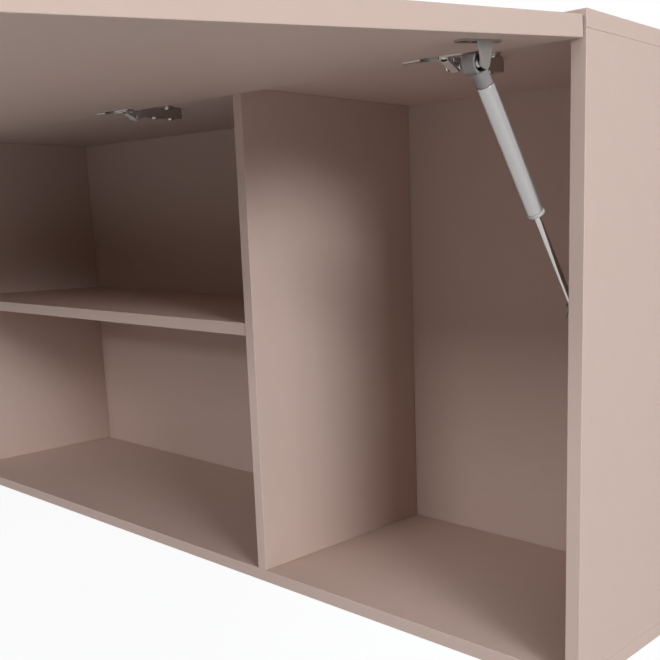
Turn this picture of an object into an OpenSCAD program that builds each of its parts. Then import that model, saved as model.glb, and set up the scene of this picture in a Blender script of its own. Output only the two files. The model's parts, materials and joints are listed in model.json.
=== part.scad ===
// Lift up wall cabinet: a two-bay box of boards with one wide flap that swings up on three cup hinges
// and is carried by a gas strut at each end. It hangs on a steel rail behind its back panel.
// Millimetres. +X to the right, +Y to the wall, +Z up. The wall plane is Y = 0, and the origin is the
// middle of the rail's line of wall screws. The flap is drawn open, as it rests on its struts.

/* [Carcass] */
// Width over the side panels
cab_w = 1290; // [1200:10:1500]
// Height over the top and bottom panels
cab_h = 600; // [560:10:720]
// Depth from the wall to the front edges of the boards
cab_d = 300; // [280:10:380]
// Thickness of the boards of the box
board_t = 15; // [15:1:19]
// Thickness of the back panel
back_t = 3; // [2.5:0.5:5]
// Space between the back panel and the wall, where the rail lies
back_recess = 15; // [15:1:25]
// Depth of the groove that holds the back panel
groove_depth = 7; // [5:0.5:9]
// Play of the back panel across and along its groove
groove_play = 0.4; // [0.2:0.1:1]
// Clear width of the right bay
right_bay_w = 430; // [300:10:600]
// Clear height between the shelf and the top panel
shelf_clear_h = 266; // [266:1:340]
// Setback of the shelf behind the front edges
shelf_setback = 1; // [0.5:0.5:20]
// Gap between the shelf and each board beside and behind it
shelf_gap = 0.5; // [0.3:0.1:2]

/* [Carcass fasteners] */
// Distance of the outer panel screws from the front and the back of the boards
screw_inset = 50; // [40:5:80]
// Radius of a panel screw
screw_r = 2.5; // [2:0.25:3]
// Length of a panel screw under its head
screw_l = 46; // [40:1:60]
// Radius of a panel screw's flat head
screw_head_r = 4.75; // [4:0.25:5.5]
// Height of a panel screw's head
screw_head_h = 3; // [2:0.5:4]
// Radius of a dowel
dowel_r = 4; // [3:0.5:4.5]
// Length of a dowel
dowel_l = 30; // [25:1:40]
// Distance from each panel screw to the dowel beside it
dowel_step = 32; // [20:1:60]
// Radius of a shelf pin
pin_r = 2.5; // [2:0.25:3]
// Length of a shelf pin in the board, and out of it
pin_l = 8; // [6:0.5:10]
// Distance of the shelf pins from the front and the back of the bay
pin_inset = 37; // [30:1:60]
// Radial play of screws, dowels and pins in their holes
hole_play = 0.1; // [0.05:0.05:0.2]

/* [Hanging] */
// Depth of the rail's line of wall screws below the cabinet's top
rail_drop = 45; // [45:1:60]
// Gap between the rail's end and the side panel
rail_end_gap = 30; // [22:1:40]
// Thickness of the rail's and hangers' steel
steel_t = 2; // [1.5:0.5:2.5]
// Distance from the rail's end to its outer wall screw
wall_screw_end = 40; // [20:1:80]
// Distance between the inner wall screws
wall_screw_inner_span = 320; // [200:10:400]
// Radius of a wall screw's hole
wall_screw_r = 3; // [2.5:0.25:3.5]
// Height of the rail below its screw line
rail_foot = 16; // [12:1:20]
// Height of the rail's hook shelf above its screw line
rail_hook_z = 8; // [7:0.5:9]
// Height of the rail's upturned lip
rail_lip_h = 10; // [8:0.5:11]
// Clearance of a hanger in the rail's hook
hook_play = 0.3; // [0.2:0.1:0.5]
// Width of a hanger
hanger_w = 50; // [40:1:70]
// Depth of a hanger's side flange down the side panel
hanger_drop = 34; // [32:1:40]

/* [Flap] */
// Thickness of the flap
flap_t = 18; // [17:1:19]
// Gap between the flap's end and the box's side face
flap_end_gap = 2; // [1:0.5:3]
// Step from the box's top to the closed flap's edge
flap_top_gap = 2; // [1.5:0.5:3]
// Step from the box's bottom to the closed flap's edge
flap_bottom_gap = 4; // [2:0.5:6]
// Gap between the closed flap and the front edges
flap_front_gap = 3; // [3:0.5:3.5]
// Angle between the closed and the open flap
open_angle = 84; // [80:1:88]

/* [Hinges] */
// Distance of the right hinge from the box's right side face
right_hinge_inset = 137; // [100:1:180]
// Distance of the left hinge from the box's left side face
left_hinge_inset = 110; // [100:1:180]
// Distance of the middle hinge from the cabinet's centre line
middle_hinge_shift = 12; // [0:1:40]
// Radius of the hinge cup
cup_r = 17.5; // [17:0.25:17.5]
// Depth of the hinge cup
cup_depth = 11.5; // [11.5:0.5:12]
// Distance of the cup's edge from the flap's edge
cup_edge = 4.5; // [4:0.25:5]
// Thickness of the cup's and the arm's sheet
sheet_t = 1.2; // [1:0.1:1.3]
// Length of the cup's flange along the flap
flange_l = 68; // [64:1:72]
// Width of the cup's flange
flange_w = 13; // [12:0.5:14]
// Distance between the cup's screws
cup_screw_span = 52; // [48:1:56]
// Distance from the cup's centre to the line of its screws
cup_screw_off = 5.5; // [5:0.25:6]
// Distance from the flap's edge to the front link's pin in the cup
link_pin_s = 12.6; // [12.2:0.1:13]
// Depth of the front link's pin in the cup
link_pin_depth = 1.5; // [1.5:0.1:1.8]
// Height of the front link's pin on the arm below the cabinet's top
arm_pin_drop = 30; // [29.5:0.1:30.5]
// Angle that the front link swings through
link_swing = 46.2; // [44:0.1:48]
// Radius of the hinge pins
hinge_pin_r = 1.5; // [1.25:0.05:1.5]
// Radial clearance of the links on their pins
pin_play = 0.05; // [0.02:0.01:0.1]
// Half width of the front link
front_link_half = 4.6; // [4.2:0.1:4.8]
// Gap between the hinge's sheets along its pins
link_gap = 0.6; // [0.5:0.05:0.7]
// Length of the hinge arm behind the front edges
arm_l = 64; // [60:1:70]
// Height of the mounting plate's base
plate_t = 3; // [2.5:0.25:3.5]
// Distance of the mounting plate's screws from the front edges
plate_line = 37; // [35:0.5:40]
// Distance between the mounting plate's screws
plate_screw_span = 32; // [30:1:36]

/* [Wood screws] */
// Radius of a hardware screw's shank
wood_screw_r = 1.9; // [1.5:0.1:2.2]
// Length of a hardware screw in the board
wood_screw_l = 11; // [9:0.5:12]
// Radius of a hardware screw's head
wood_head_r = 3.6; // [3.2:0.1:4]
// Height of a hardware screw's head
wood_head_h = 2; // [1.5:0.1:2.4]

/* [Gas struts] */
// Distance from the side panel's inner face to the strut's axis
strut_off = 21; // [20.5:0.5:22]
// Depth of the upper ball below the flap's inner face
ball_depth = 16; // [15.5:0.5:17]
// Distance of the right upper ball from the flap's edge
right_ball_s = 100; // [98:0.5:101]
// Distance of the right lower ball behind the front edges
right_foot_y = 48.5; // [47:0.5:50]
// Depth of the right lower ball below the cabinet's top
right_foot_drop = 257; // [255:1:259]
// Distance of the left upper ball from the flap's edge
left_ball_s = 94.5; // [93:0.5:96]
// Distance of the left lower ball behind the front edges
left_foot_y = 67.5; // [66:0.5:69]
// Depth of the left lower ball below the cabinet's top
left_foot_drop = 246; // [244:1:247]
// Radius of the strut's tube
tube_r = 7.5; // [7:0.25:8]
// Length of the strut's tube
tube_l = 118; // [112:1:119]
// Wall of the strut's tube
tube_wall = 1; // [0.8:0.1:1.2]
// Distance from the upper ball to the tube's end
tube_off = 18.2; // [17.8:0.2:18.6]
// Radius of the strut's rod
rod_r = 3; // [2.5:0.25:3.25]
// Length of the strut's rod
rod_l = 122; // [118:1:122]
// Clearance between the rod and its guide
rod_play = 0.05; // [0.03:0.01:0.1]
// Height of the piston
piston_h = 8; // [6:0.5:9]
// Radial clearance of the piston in the tube
piston_play = 0.3; // [0.2:0.05:0.4]
// Radius of the studs' balls
ball_r = 5; // [4.5:0.1:5.2]
// Radial clearance of a ball in its socket
ball_play = 0.05; // [0.03:0.01:0.1]
// Radius of the upper socket's barrel
upper_barrel_r = 8.5; // [8:0.1:9]
// Radius of the lower socket's barrel
lower_barrel_r = 7; // [6.8:0.1:7.2]
// Distance from a ball's centre to its socket's mouth
mouth_off = 3; // [2.8:0.1:3.4]
// Distance from the lower ball to the end of the socket's neck
neck_l = 17.5; // [17:0.5:18]
// Thickness of the brackets' sheet
bracket_t = 1.5; // [1.2:0.1:1.8]
// Gap between the upper socket's mouth and the ear
ear_gap = 4.5; // [4:0.1:5]
// Length of the flap bracket's foot
foot_l = 50; // [48:1:58]
// Width of the flap bracket's foot
foot_w = 12; // [11:0.5:14]
// Width of the flap bracket's ear where it meets the foot
ear_w = 19; // [17:0.5:21]
// Radius of the ear's rounded end
ear_end_r = 5.5; // [5:0.25:6]
// Distance from the upper ball back to the middle of the ear
ear_shift = 2; // [0:0.5:4]
// Distance from the upper ball back to the middle of the foot's screws
foot_screw_shift = 4; // [2:0.5:5]
// Length of the side bracket
side_plate_l = 44; // [40:1:50]
// Width of the side bracket
side_plate_w = 18; // [16:0.5:20]
// Gap between the lower stud's base and its bracket
open_pivot_gap = 0.3; // [0.3:0.1:0.6]

/* [Hidden] */
$fn = 48;

board_colour = [0.72, 0.65, 0.60];
steel_colour = [0.66, 0.65, 0.64];
tube_colour = [0.78, 0.77, 0.76];
plastic_colour = [0.36, 0.34, 0.33];
brass_colour = [0.62, 0.58, 0.50];
dowel_colour = [0.80, 0.68, 0.50];

// How far a cutting solid runs past the face that it opens.
eps = 1;

// Heights and planes of the box, in the part's frame.
top_z = rail_drop;
bottom_z = top_z - cab_h;
under_top_z = top_z - board_t;
over_bottom_z = bottom_z + board_t;
front_y = -cab_d;
back_face_y = -back_recess - back_t;
inner_x = cab_w / 2 - board_t;
upright_h = cab_h - 2 * board_t;
divider_right_x = inner_x - right_bay_w;
divider_left_x = divider_right_x - board_t;
upright_mid_x = [cab_w / 2 - board_t / 2, divider_right_x - board_t / 2, -cab_w / 2 + board_t / 2];
shelf_z = under_top_z - shelf_clear_h - board_t;
bay_back_y = back_face_y - shelf_gap;
rail_l = 2 * (inner_x - rail_end_gap);
wall_screw_span = rail_l - 2 * wall_screw_end;

// Rows of panel screws and dowels, from the front to the back.
screw_ys = [front_y + screw_inset, back_face_y - screw_inset];
dowel_ys = [screw_ys[0] + dowel_step, screw_ys[1] - dowel_step];
// A board's end bores run a little past the screws and dowels in them.
bore_spare = 1;
// A sunk hole's cone runs past both faces of its sheet.
sink_spare = 0.2;
dowel_top = dowel_l / 3;

// A vector [y, z] turned by an angle that is positive from +Y to +Z.
function turned(v, a) = [v[0] * cos(a) - v[1] * sin(a), v[0] * sin(a) + v[1] * cos(a)];

// Hinge pivots as [y, z]. The closed flap fixes the cup's pin, and the front link swings it open.
arm_pin = [front_y, top_z - arm_pin_drop];
closed_corner = [front_y - flap_front_gap, top_z - flap_top_gap];
closed_pin = closed_corner + [-link_pin_depth, -link_pin_s];
cup_pin = arm_pin + turned(closed_pin - arm_pin, link_swing);
flap_corner = cup_pin + turned(closed_corner - closed_pin, -open_angle);
flap_tilt = 90 - open_angle;
flap_w = cab_w - 2 * flap_end_gap;
flap_h = cab_h - flap_top_gap - flap_bottom_gap;

// The rear link's pins: one on the arm, and one deeper in the cup.
rear_arm_pin_back = 6;
rear_arm_pin_drop = 21;
rear_arm_pin = [front_y + rear_arm_pin_back, top_z - rear_arm_pin_drop];
rear_pin_s = 10;
rear_pin_depth = 7;
function flap_point(s, depth) = flap_corner + turned([-s, depth], flap_tilt);
rear_cup_pin = flap_point(rear_pin_s, rear_pin_depth);
// The rear link dips under the flap's edge between two knees.
inner_knee_back = 1;
inner_knee_drop = 26.2;
outer_knee_reach = 7.9;
outer_knee_drop = 25.9;
rear_knees = [[front_y + inner_knee_back, top_z - inner_knee_drop], [front_y - outer_knee_reach, top_z - outer_knee_drop]];

// Hinge sheets from the middle outwards: the front link, the rear link's plates, and the cheeks.
rear_link_in = front_link_half + link_gap;
rear_link_out = rear_link_in + 1;
cheek_in = rear_link_out + link_gap;
cheek_out = cheek_in + sheet_t;
link_eye_r = 2.9;
rear_bar_r = 1.1;
rear_eye_r = 2.2;
rear_stub_r = 1.2;
web_off = 3.4;
web_end_gap = 2.5;
arm_nose_r = 3.5;
arm_top_z = under_top_z - plate_t;
arm_web_drop = 29;
arm_web_z = top_z - arm_web_drop;
arm_cheek_y = 6;
arm_web_back = 12;
arm_web_y = front_y + arm_web_back;
arm_nose_back = 10;
arm_nose_drop = 25.2;
arm_nose_end = [front_y + arm_nose_back, top_z - arm_nose_drop];
arm_heel_r = 2.8;
plate_core_y = 20;
plate_core_gap = 0.4;
plate_wing_w = 12;
plate_wing_half = 22;
arm_screw_ys = [28, 52];
arm_head_r = 3.4;
arm_head_h = 1.8;
arm_screw_l = 10;
cup_s = cup_edge + cup_r;
cup_bore_play = 0.1;
cup_bore_spare = 0.5;
cup_floor_t = 1;
cup_ear_s = [7.6, 14.2];
cup_lug_half = 2.6;
cup_lug_r = 2.6;
cup_notch_depth = 2.2;
cup_notch_s = 8;
flange_s = cup_s + cup_screw_off;
flange_ring_r = 19;
flange_corner_r = 4;
mouth_half = 8.6;
right_hinge_x = cab_w / 2 - right_hinge_inset;
middle_hinge_x = -middle_hinge_shift;
left_hinge_x = left_hinge_inset - cab_w / 2;
hinge_xs = [right_hinge_x, middle_hinge_x, left_hinge_x];

// Strut ends as [y, z]: the upper ball on the flap and the lower ball beside the side panel.
right_ball = flap_point(right_ball_s, -ball_depth);
left_ball = flap_point(left_ball_s, -ball_depth);
right_foot = [front_y + right_foot_y, top_z - right_foot_drop];
left_foot = [front_y + left_foot_y, top_z - left_foot_drop];
strut_x = inner_x - strut_off;
neck_r = 6.6;
lower_neck_r = 5;
socket_back = 8;
lower_socket_back = 7;
counterbore_r = ball_r + 1.2;
counterbore_l = 4.5;
tube_end_t = 4;
guide_h = 6;
guide_collar_h = 3;
guide_collar_r = tube_r + 0.4;
rod_grip = 14;
stud_r = 2.6;
stud_collar_r = 4.4;
stud_collar_h = 1.5;
ear_in_x = mouth_off + ear_gap;
foot_screw_off = 15;
side_screw_off = 14;
corner_r = 5;
hanger_screw_zs = [14, 2];

module cut_box(low, size) {
  translate(low) cube(size);
}

// A straight bar between two points of a plane, with round ends.
module bar(a, b, r) {
  d = b - a;
  translate(a) circle(r);
  translate(b) circle(r);
  translate(a) rotate(atan2(d[1], d[0])) translate([0, -r]) square([norm(d), 2 * r]);
}

// A profile drawn in [y, z] and given its thickness along X, from x0 to x1.
module along_x(x0, x1) {
  translate([x0, 0, 0]) rotate([90, 0, 90]) linear_extrude(x1 - x0) children();
}

// Two plates drawn in [y, z], the same on both sides of the plane x = 0.
module both_sides(x0, x1) {
  along_x(x0, x1) children();
  along_x(-x1, -x0) children();
}

// A round pin along X at a point [y, z].
module x_pin(x0, x1, at, r) {
  translate([x0, at[0], at[1]]) rotate([0, 90, 0]) cylinder(h = x1 - x0, r = r);
}

// A plate in the plane of the flap or of a panel, with round corners.
module rounded_plate(size, r, t) {
  linear_extrude(t) {
    square([size[0] - 2 * r, size[1]], center = true);
    square([size[0], size[1] - 2 * r], center = true);
    for (x = [-1, 1], y = [-1, 1]) translate([x * (size[0] / 2 - r), y * (size[1] / 2 - r)]) circle(r);
  }
}

// Places what is drawn on the flap: Y = 0 is its hinge edge, Z = 0 its inner face, Z up its thickness.
module on_flap() {
  translate([0, flap_corner[0], flap_corner[1]]) rotate([flap_tilt, 0, 0]) children();
}

// Places what is drawn along a strut: the upper ball is the origin, and the lower ball is down -Z.
module on_strut(side, ball, foot) {
  d = foot - ball;
  translate([side * strut_x, ball[0], ball[1]]) rotate([atan2(d[0], -d[1]), 0, 0]) mirror([side < 0 ? 1 : 0, 0, 0])
    children();
}

// ---------------------------------------------------------------- carcass

// Bores for the screws and dowels in a top or bottom panel, drawn with the panel's outer face at z = 0.
module joint_holes() {
  for (x = upright_mid_x) {
    for (y = screw_ys) translate([x, y, 0]) {
      translate([0, 0, -board_t - eps]) cylinder(h = board_t + 2 * eps, r = screw_r + hole_play);
      translate([0, 0, -screw_head_h]) cylinder(h = screw_head_h + eps, r = screw_head_r + hole_play);
    }
    for (y = dowel_ys) translate([x, y, -board_t - eps]) cylinder(h = dowel_top + eps, r = dowel_r + hole_play);
  }
}

// Bores for the screws and dowels in the end of an upright, drawn with the end face at z = 0.
module end_bores() {
  for (y = screw_ys) {
    depth = screw_l + screw_head_h - board_t + bore_spare;
    translate([0, y, -depth]) cylinder(h = depth + eps, r = screw_r + hole_play);
  }
  for (y = dowel_ys) {
    depth = dowel_l - dowel_top + bore_spare;
    translate([0, y, -depth]) cylinder(h = depth + eps, r = dowel_r + hole_play);
  }
}

// The groove for the back panel along X, drawn with the panel's inner face at z = 0 and the board below.
module back_groove() {
  cut_box([-inner_x - groove_depth, back_face_y - groove_play / 2, -groove_depth],
    [2 * (inner_x + groove_depth), back_t + groove_play, groove_depth + eps]);
}

// Pilot holes of the hinge plates, drawn with the top panel's underside at z = 0.
module plate_pilots() {
  for (x = hinge_xs, side = [-1, 1])
    translate([x + side * plate_screw_span / 2, front_y + plate_line, -eps])
      cylinder(h = wood_screw_l + bore_spare + eps, r = wood_screw_r + hole_play);
}

module top_panel() {
  color(board_colour) difference() {
    cut_box([-cab_w / 2, front_y, under_top_z], [cab_w, cab_d, board_t]);
    translate([0, 0, top_z]) joint_holes();
    translate([0, 0, under_top_z]) mirror([0, 0, 1]) back_groove();
    translate([0, 0, under_top_z]) plate_pilots();
  }
}

module bottom_panel() {
  color(board_colour) difference() {
    cut_box([-cab_w / 2, front_y, bottom_z], [cab_w, cab_d, board_t]);
    translate([0, 0, bottom_z]) mirror([0, 0, 1]) joint_holes();
    translate([0, 0, over_bottom_z]) back_groove();
  }
}

// An upright board between the top and bottom panels, with its bores, centred on x = 0.
module upright(depth) {
  difference() {
    cut_box([-board_t / 2, front_y, over_bottom_z], [board_t, depth, upright_h]);
    translate([0, 0, under_top_z]) end_bores();
    translate([0, 0, over_bottom_z]) mirror([0, 0, 1]) end_bores();
  }
}

// Holes for shelf pins through one face of an upright, opening towards +X or -X at x = 0.
module pin_holes(dir) {
  for (y = pin_ys()) x_pin(dir > 0 ? -pin_l - bore_spare : -eps, dir > 0 ? eps : pin_l + bore_spare,
    [y, shelf_z - pin_r], pin_r + hole_play);
}

function pin_ys() = [front_y + pin_inset, bay_back_y - pin_inset];

// A side panel with the bores for its strut bracket and hanger. side is 1 on the right and -1 on the left.
module side_panel(side, foot) {
  mirror([side < 0 ? 1 : 0, 0, 0]) difference() {
    translate([inner_x + board_t / 2, 0, 0]) upright(cab_d);
    cut_box([inner_x - eps, back_face_y - groove_play / 2, over_bottom_z - eps],
      [groove_depth + eps, back_t + groove_play, upright_h + 2 * eps]);
    for (end = [-1, 1]) x_pin(inner_x - eps, inner_x + wood_screw_l + bore_spare, side_screw_at(foot, end),
      wood_screw_r + hole_play);
    for (z = hanger_screw_zs) x_pin(inner_x - eps, inner_x + wood_screw_l + bore_spare, [hanger_mid_y(), z],
      wood_screw_r + hole_play);
  }
}

function hanger_mid_y() = -(back_recess + steel_t) / 2;

module left_side_panel() {
  color(board_colour) difference() {
    side_panel(-1, left_foot);
    translate([-inner_x, 0, 0]) pin_holes(1);
  }
}

module right_side_panel() {
  color(board_colour) side_panel(1, right_foot);
}

module divider() {
  color(board_colour) difference() {
    translate([upright_mid_x[1], 0, 0]) upright(bay_back_y - front_y);
    translate([divider_left_x, 0, 0]) pin_holes(-1);
  }
}

module shelf() {
  color(board_colour)
    cut_box([-inner_x + shelf_gap, front_y + shelf_setback, shelf_z],
      [divider_left_x + inner_x - 2 * shelf_gap, bay_back_y - front_y - shelf_setback, board_t]);
}

module back_panel() {
  w = 2 * (inner_x + groove_depth - groove_play);
  h = upright_h + 2 * (groove_depth - groove_play);
  color(board_colour) cut_box([-w / 2, back_face_y, over_bottom_z - groove_depth + groove_play], [w, back_t, h]);
}

module panel_screw() {
  translate([0, 0, -screw_head_h]) cylinder(h = screw_head_h, r = screw_head_r);
  translate([0, 0, -screw_head_h - screw_l]) cylinder(h = screw_l, r = screw_r);
}

module panel_screws() {
  color(steel_colour) for (x = upright_mid_x, y = screw_ys) {
    translate([x, y, top_z]) panel_screw();
    translate([x, y, bottom_z]) mirror([0, 0, 1]) panel_screw();
  }
}

module panel_dowels() {
  color(dowel_colour) for (x = upright_mid_x, y = dowel_ys) {
    translate([x, y, under_top_z + dowel_top - dowel_l]) cylinder(h = dowel_l, r = dowel_r);
    translate([x, y, over_bottom_z - dowel_top]) cylinder(h = dowel_l, r = dowel_r);
  }
}

module shelf_pins() {
  color(steel_colour) for (y = pin_ys()) {
    x_pin(-inner_x - pin_l, -inner_x + pin_l, [y, shelf_z - pin_r], pin_r);
    x_pin(divider_left_x - pin_l, divider_left_x + pin_l, [y, shelf_z - pin_r], pin_r);
  }
}

// ---------------------------------------------------------------- hanging

// The slot between the rail's lip and the wall takes a hanger's leaf.
module wall_rail() {
  slot = steel_t + 2 * hook_play;
  color(steel_colour) difference() {
    union() {
      cut_box([-rail_l / 2, -steel_t, -rail_foot], [rail_l, steel_t, rail_foot + rail_hook_z + steel_t]);
      cut_box([-rail_l / 2, -slot - 2 * steel_t, rail_hook_z], [rail_l, slot + 2 * steel_t, steel_t]);
      cut_box([-rail_l / 2, -slot - 2 * steel_t, rail_hook_z], [rail_l, steel_t, steel_t + rail_lip_h]);
    }
    for (span = [wall_screw_span, wall_screw_inner_span], side = [-1, 1])
      translate([side * span / 2, eps, 0]) rotate([90, 0, 0]) cylinder(h = steel_t + 2 * eps, r = wall_screw_r);
  }
}

// A corner hanger: a leaf in the rail's hook, a flange under the top panel and one on the side panel.
module hanger(side) {
  leaf_y = -steel_t - hook_play - steel_t;
  leaf_z = rail_hook_z + steel_t + hook_play;
  depth = back_recess - hook_play;
  color(steel_colour) mirror([side < 0 ? 1 : 0, 0, 0]) difference() {
    union() {
      cut_box([inner_x - hanger_w, leaf_y, leaf_z], [hanger_w, steel_t, under_top_z - leaf_z]);
      cut_box([inner_x - hanger_w, -depth, under_top_z - steel_t], [hanger_w, depth + leaf_y + steel_t, steel_t]);
      cut_box([inner_x - steel_t, -depth, under_top_z - hanger_drop], [steel_t, depth + leaf_y + steel_t, hanger_drop]);
    }
    for (z = hanger_screw_zs) x_pin(inner_x - steel_t - eps, inner_x + eps, [hanger_mid_y(), z], wood_screw_r + hole_play);
  }
}

module left_hanger() {
  hanger(-1);
}

module right_hanger() {
  hanger(1);
}

// A pan-head screw drawn into +Z, with its head resting on the plane z = 0.
module wood_screw() {
  translate([0, 0, -wood_head_h]) cylinder(h = wood_head_h, r = wood_head_r);
  cylinder(h = wood_screw_l, r = wood_screw_r);
}

// A flat-head screw drawn into +Z from the board's face, with its head sunk in a sheet on that face.
module flat_screw(sheet) {
  translate([0, 0, -sheet]) cylinder(h = sheet, r1 = wood_head_r, r2 = wood_screw_r);
  cylinder(h = wood_screw_l, r = wood_screw_r);
}

// The sunk hole for a flat-head screw in a sheet that lies on the plane z = 0.
module sunk_hole(sheet) {
  slope = (wood_head_r - wood_screw_r) / sheet;
  translate([0, 0, -sheet - sink_spare])
    cylinder(h = sheet + 2 * sink_spare, r1 = wood_head_r + hole_play + slope * sink_spare,
      r2 = wood_screw_r + hole_play - slope * sink_spare);
}

module hanger_screws() {
  color(steel_colour) for (side = [-1, 1], z = hanger_screw_zs)
    translate([side * (inner_x - steel_t), hanger_mid_y(), z]) rotate([0, side * 90, 0]) wood_screw();
}

// ---------------------------------------------------------------- flap

module flap_panel() {
  color(board_colour) on_flap() difference() {
    cut_box([-flap_w / 2, -flap_h, 0], [flap_w, flap_h, flap_t]);
    for (x = hinge_xs) {
      translate([x, -cup_s, -eps]) cylinder(h = cup_depth + cup_bore_spare + eps, r = cup_r + cup_bore_play, $fn = 96);
      for (side = [-1, 1]) translate([x + side * cup_screw_span / 2, -flange_s, -eps])
        cylinder(h = wood_screw_l + bore_spare + eps, r = wood_screw_r + hole_play);
    }
    for (side = [-1, 1], end = [-1, 1]) translate([side * foot_x(), -foot_screw_s(side, end), -eps])
      cylinder(h = wood_screw_l + bore_spare + eps, r = wood_screw_r + hole_play);
  }
}

function ball_s(side) = side > 0 ? right_ball_s : left_ball_s;
// Middle of the flap bracket's foot, which lies on the far side of the ear from the side panel.
function foot_x() = strut_x + ear_in_x + bracket_t - foot_w / 2;
function foot_screw_s(side, end) = ball_s(side) - foot_screw_shift + end * foot_screw_off;

// ---------------------------------------------------------------- hinges

// The cup, drawn on the flap at x = 0 with its mouth down: a drawn shell and its flange, with a notch in the
// rim for the links, a lug in the middle for the front link's pin, and two ears for the rear link's rivets.
module cup_shape() {
  difference() {
    union() {
      translate([0, -cup_s, 0]) cylinder(h = cup_depth, r = cup_r, $fn = 96);
      translate([0, 0, -sheet_t]) difference() {
        union() {
          translate([0, -flange_s, 0]) rounded_plate([flange_l, flange_w], flange_corner_r, sheet_t);
          translate([0, -cup_s, 0]) cylinder(h = sheet_t, r = flange_ring_r, $fn = 96);
        }
        cut_box([-flange_l / 2, -cup_s - 2 * flange_ring_r, -eps],
          [flange_l, 2 * flange_ring_r - cup_screw_off - flange_w / 2, sheet_t + 2 * eps]);
        cut_box([-mouth_half, -cup_s, -eps], [2 * mouth_half, 2 * flange_ring_r, sheet_t + 2 * eps]);
      }
    }
    translate([0, -cup_s, -sheet_t - eps])
      cylinder(h = cup_depth - cup_floor_t + sheet_t + eps, r = cup_r - cup_floor_t, $fn = 96);
    for (side = [-1, 1]) translate([side * cup_screw_span / 2, -flange_s, 0]) sunk_hole(sheet_t);
    cut_box([-mouth_half, -cup_notch_s, -eps], [2 * mouth_half, cup_notch_s, cup_notch_depth + eps]);
  }
  both_sides(cheek_in, cheek_out) difference() {
    translate([-cup_ear_s[1], 0]) square([cup_ear_s[1] - cup_ear_s[0], cup_depth - cup_floor_t / 2]);
    translate([-rear_pin_s, rear_pin_depth]) circle(rear_stub_r + pin_play);
  }
  along_x(-cup_lug_half, cup_lug_half) difference() {
    union() {
      translate([-link_pin_s, link_pin_depth]) circle(cup_lug_r);
      translate([-link_pin_s - cup_lug_r, link_pin_depth])
        square([2 * cup_lug_r, cup_depth - cup_floor_t / 2 - link_pin_depth]);
    }
    translate([-link_pin_s, link_pin_depth]) circle(hinge_pin_r + pin_play);
  }
}

module hinge_cup(x) {
  color(steel_colour) on_flap() translate([x, 0, 0]) cup_shape();
}

// The front link: two cheeks and the web that joins them on the side away from the flap.
module hinge_front_link(x) {
  d = cup_pin - arm_pin;
  l = norm(d);
  color(steel_colour) translate([x, arm_pin[0], arm_pin[1]]) rotate([atan2(d[1], d[0]), 0, 0]) difference() {
    union() {
      both_sides(front_link_half - sheet_t, front_link_half) union() {
        bar([0, 0], [l, 0], link_eye_r);
        translate([-link_eye_r, 0]) square([l + link_eye_r, web_off + sheet_t / 2]);
      }
      along_x(-front_link_half, front_link_half)
        translate([-link_eye_r, web_off - sheet_t / 2]) square([l + link_eye_r - web_end_gap, sheet_t]);
    }
    x_pin(-front_link_half - eps, front_link_half + eps, [0, 0], hinge_pin_r + pin_play);
    x_pin(-front_link_half - eps, front_link_half + eps, [l, 0], hinge_pin_r + pin_play);
  }
}

// The rear link: two flat plates that dip under the flap's edge and reach up into the cup.
module hinge_rear_link(x) {
  color(steel_colour) translate([x, 0, 0]) both_sides(rear_link_in, rear_link_out) difference() {
    union() {
      bar(rear_arm_pin, rear_knees[0], rear_bar_r);
      bar(rear_knees[0], rear_knees[1], rear_bar_r);
      bar(rear_knees[1], rear_cup_pin, rear_bar_r);
      translate(rear_arm_pin) circle(rear_eye_r);
    }
    translate(rear_arm_pin) circle(rear_stub_r + pin_play);
  }
}

// The arm: a channel that opens upwards, with a nose that carries the front link's pin.
module hinge_arm(x) {
  color(steel_colour) translate([x, 0, 0]) difference() {
    union() {
      both_sides(cheek_in, cheek_out) {
        bar(arm_pin, arm_nose_end, arm_nose_r);
        translate(rear_arm_pin) circle(arm_heel_r);
        translate([front_y + arm_cheek_y, arm_web_z]) square([arm_l - arm_cheek_y, arm_top_z - arm_web_z]);
      }
      cut_box([-cheek_out, arm_web_y, arm_web_z], [2 * cheek_out, front_y + arm_l - arm_web_y, sheet_t]);
    }
    x_pin(-cheek_out - eps, cheek_out + eps, arm_pin, hinge_pin_r + pin_play);
    x_pin(-cheek_out - eps, cheek_out + eps, rear_arm_pin, rear_stub_r + pin_play);
    for (y = arm_screw_ys) translate([0, front_y + y, arm_web_z - eps])
      cylinder(h = sheet_t + 2 * eps, r = wood_screw_r + hole_play);
  }
}

// The mounting plate: a base with two wings under the top panel, and the core that the arm is clamped to.
module hinge_plate(x) {
  core_half = cheek_in - plate_core_gap;
  core_z = arm_web_z + sheet_t;
  color(steel_colour) translate([x, 0, 0]) difference() {
    union() {
      cut_box([-core_half, front_y + plate_core_y, core_z],
        [2 * core_half, arm_l - plate_core_y, under_top_z - core_z]);
      translate([0, front_y + plate_line, arm_top_z])
        rounded_plate([2 * plate_wing_half, plate_wing_w], corner_r, plate_t);
    }
    for (y = arm_screw_ys) translate([0, front_y + y, core_z - eps])
      cylinder(h = arm_top_z - core_z + eps, r = wood_screw_r + hole_play);
    for (side = [-1, 1]) translate([side * plate_screw_span / 2, front_y + plate_line, arm_top_z - eps])
      cylinder(h = plate_t + 2 * eps, r = wood_screw_r + hole_play);
  }
}

module hinge_arm_pins() {
  color(steel_colour) for (x = hinge_xs) translate([x, 0, 0]) {
    x_pin(-cheek_out, cheek_out, arm_pin, hinge_pin_r);
    x_pin(-cheek_out, cheek_out, rear_arm_pin, rear_stub_r);
  }
}

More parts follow.
